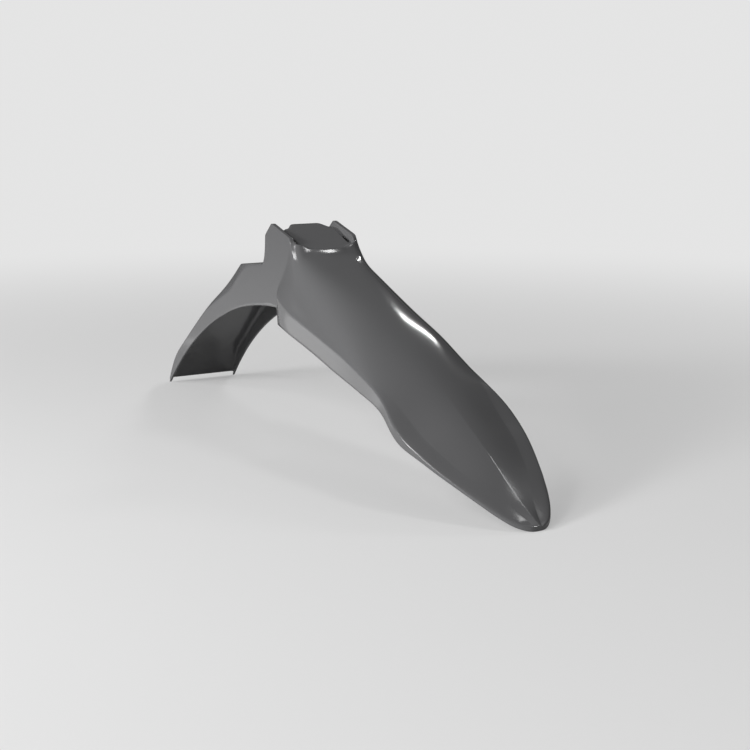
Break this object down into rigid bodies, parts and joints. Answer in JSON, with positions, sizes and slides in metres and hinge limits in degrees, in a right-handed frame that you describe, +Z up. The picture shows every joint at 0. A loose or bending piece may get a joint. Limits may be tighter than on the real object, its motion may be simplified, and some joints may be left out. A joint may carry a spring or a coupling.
{
  "type": "motorcycle front mudguard",
  "caption": "High-mounted front mudguard in one moulded shell: a long hood with a pointed nose, a raised flat deck between two ears, and a curved tail that clears the wheel.",
  "frame": {"origin": "middle of the bounding box in X and Y, on the table that the nose and the tail rest on", "axes": "+X forward to the nose, +Y to the left across the symmetric shell, +Z up"},
  "size_m": [0.8, 0.143, 0.2495],
  "materials": {
    "shell": "smooth high gloss"
  },
  "bodies": {
    "root": {"mudguard": "shell"}
  },
  "joints": []
}
